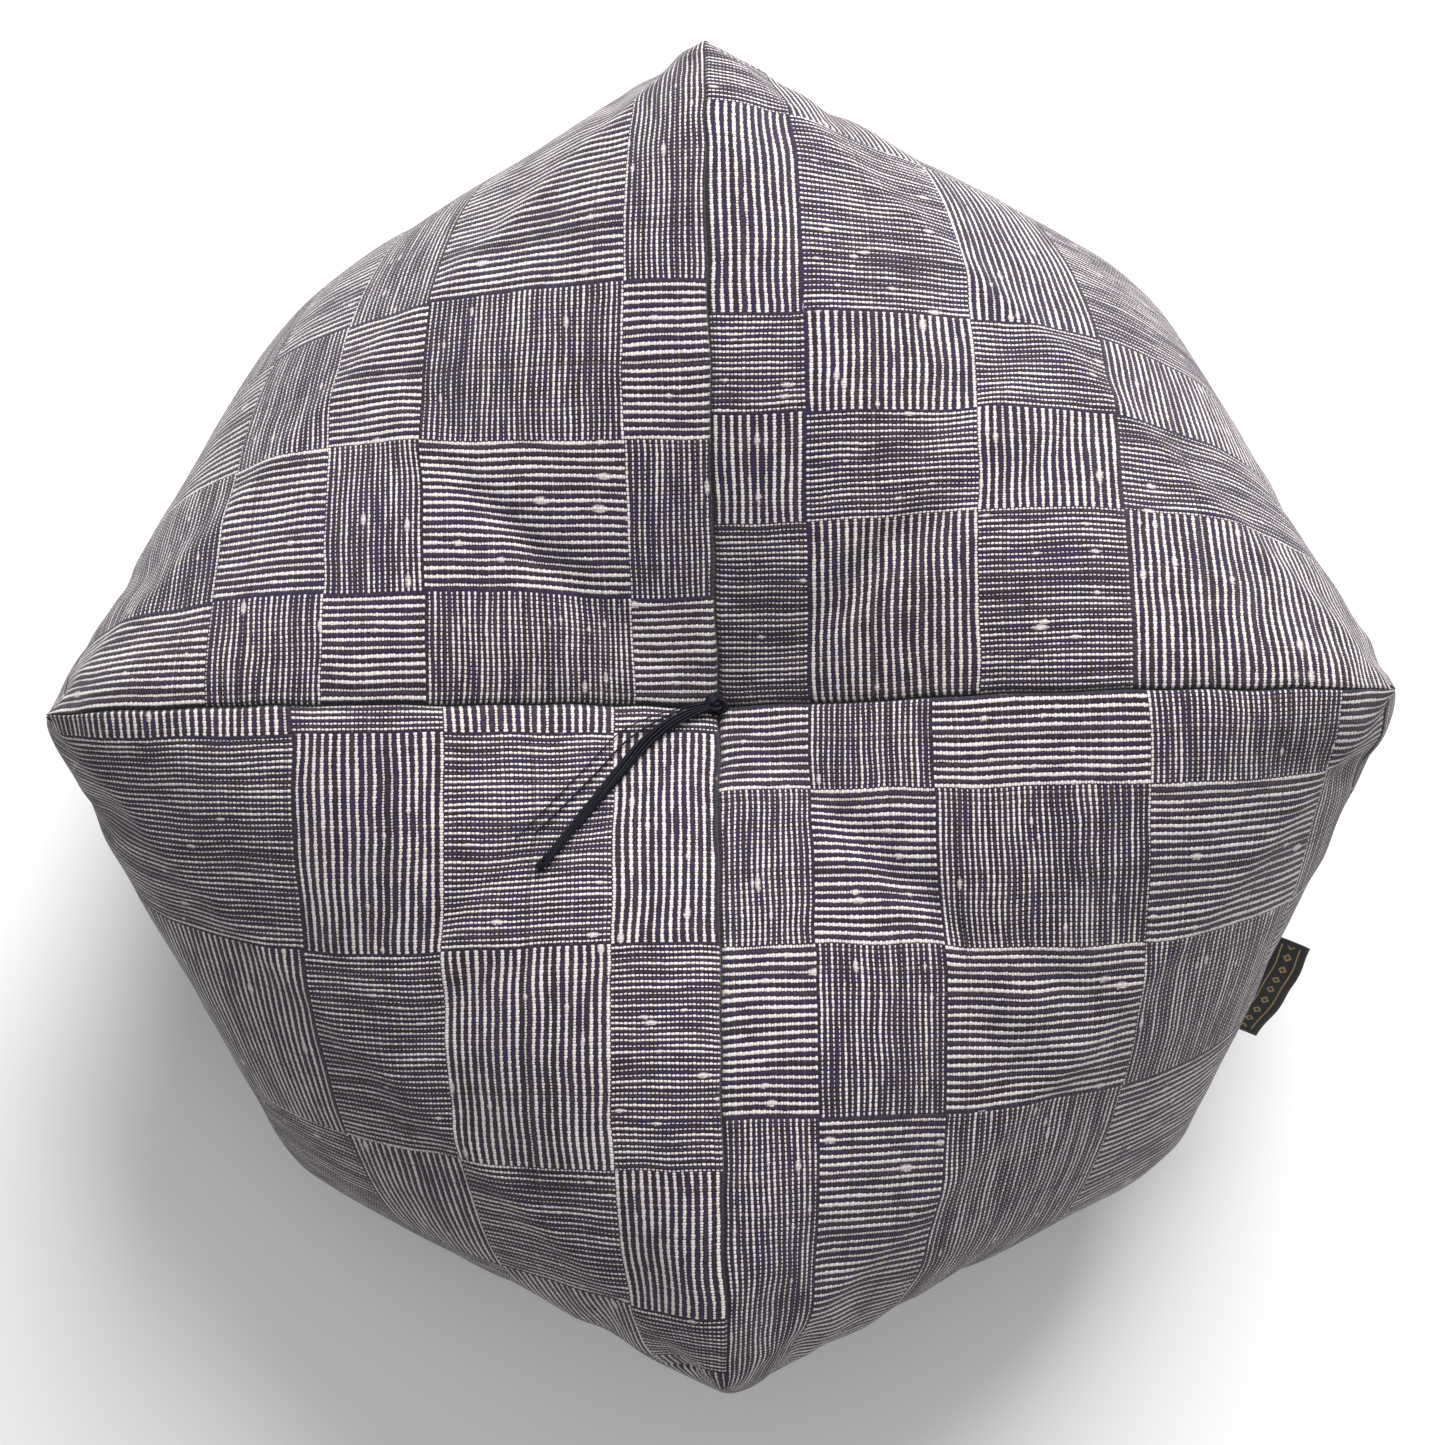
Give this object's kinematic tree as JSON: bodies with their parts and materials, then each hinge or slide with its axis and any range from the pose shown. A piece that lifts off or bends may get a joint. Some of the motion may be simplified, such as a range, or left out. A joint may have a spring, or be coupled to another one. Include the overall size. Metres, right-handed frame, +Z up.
{
  "type": "floor cushion",
  "caption": "Puffed floor cushion sewn from oblong cloth panels in a pinwheel, tufted through the middle, with a thread tassel on top and a folded tag in a side seam.",
  "frame": {"origin": "middle of the resting face, on the tuft's axis", "axes": "+Z up through the tuft; the four upper corners lie on +X, +Y, -X and -Y; the tag is in the side seam that starts at the +X corner"},
  "size_m": [0.532, 0.532, 0.2482],
  "materials": {
    "cloth": "matt colour-and-weave cotton in navy and cream, slubbed",
    "sewing_thread": "matt dark navy thread",
    "wadding": "matt fibre filling",
    "tuft_thread": "near-black twisted thread",
    "tag_ribbon": "black woven ribbon with a small gold pattern"
  },
  "bodies": {
    "cushion": {"panel_back_right": "cloth", "panel_back_left": "cloth", "panel_front_left": "cloth", "panel_front_right": "cloth", "seam_right": "sewing_thread", "seam_back": "sewing_thread", "seam_left": "sewing_thread", "seam_front": "sewing_thread", "closing_stitches": "sewing_thread", "wadding_wrap": "wadding", "wadding_core": "wadding", "tuft_cord": "tuft_thread", "tuft_knot": "tuft_thread", "base_knot": "tuft_thread", "tassel_bundle": "tuft_thread", "tassel_strand_1": "tuft_thread", "tassel_strand_2": "tuft_thread"},
    "tag": {"woven_tag": "tag_ribbon"}
  },
  "joints": [
    {"name": "tag_flex", "type": "hinge", "parent": "cushion", "child": "tag", "pos_m": [0.22482, -0.1207, 0.08506], "axis": [0.266, 0.6801, 0.6831], "range_deg": [-60, 60], "stiffness_Nm_per_rad": 0.002}
  ]
}
